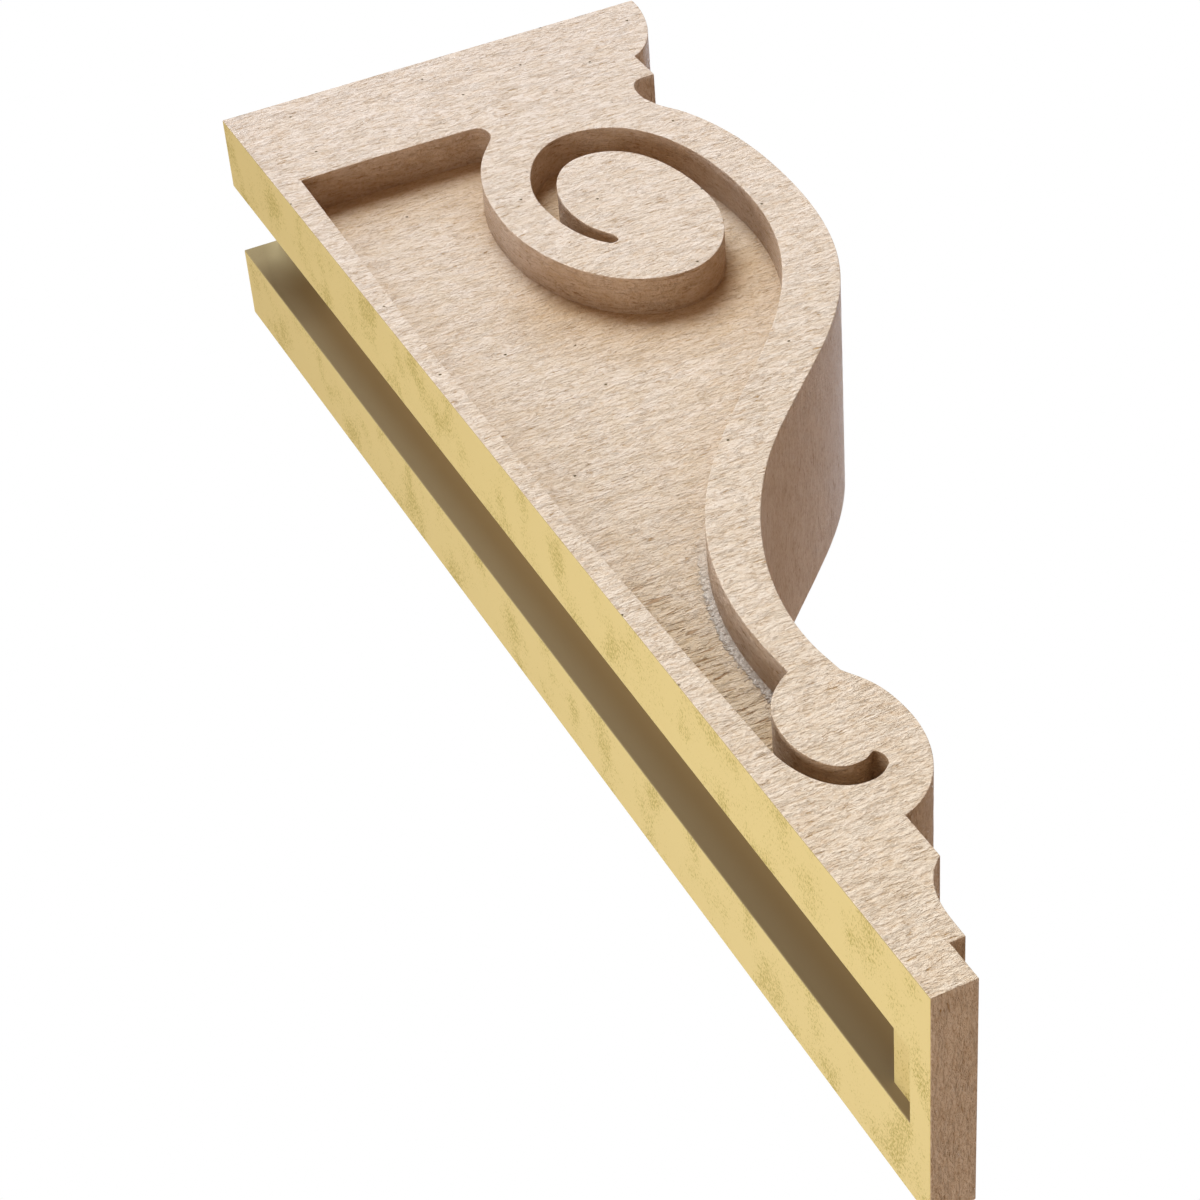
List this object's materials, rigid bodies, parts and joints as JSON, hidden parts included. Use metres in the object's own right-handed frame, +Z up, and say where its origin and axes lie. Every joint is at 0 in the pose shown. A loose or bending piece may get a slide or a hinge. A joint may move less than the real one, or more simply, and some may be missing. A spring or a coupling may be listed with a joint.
{
  "type": "corbel",
  "caption": "Tall moulded foam wall corbel with an S-shaped front, sunk volutes on both sides, a moulded crown under a flat top, and a slotted flat back.",
  "frame": {"origin": "on the flat back, at mid-width, in the middle of the solid foot below the slot, 9.5 mm above the underside", "axes": "+X out of the wall, +Y along the wall, +Z up towards the flat top"},
  "size_m": [0.3048, 0.1524, 0.9144],
  "materials": {
    "tan_coat": "tan priming coat over moulded polyurethane foam with a rough-sawn grain; the back and its slot are bare yellow foam"
  },
  "bodies": {
    "root": {"corbel": "tan_coat"}
  },
  "joints": []
}
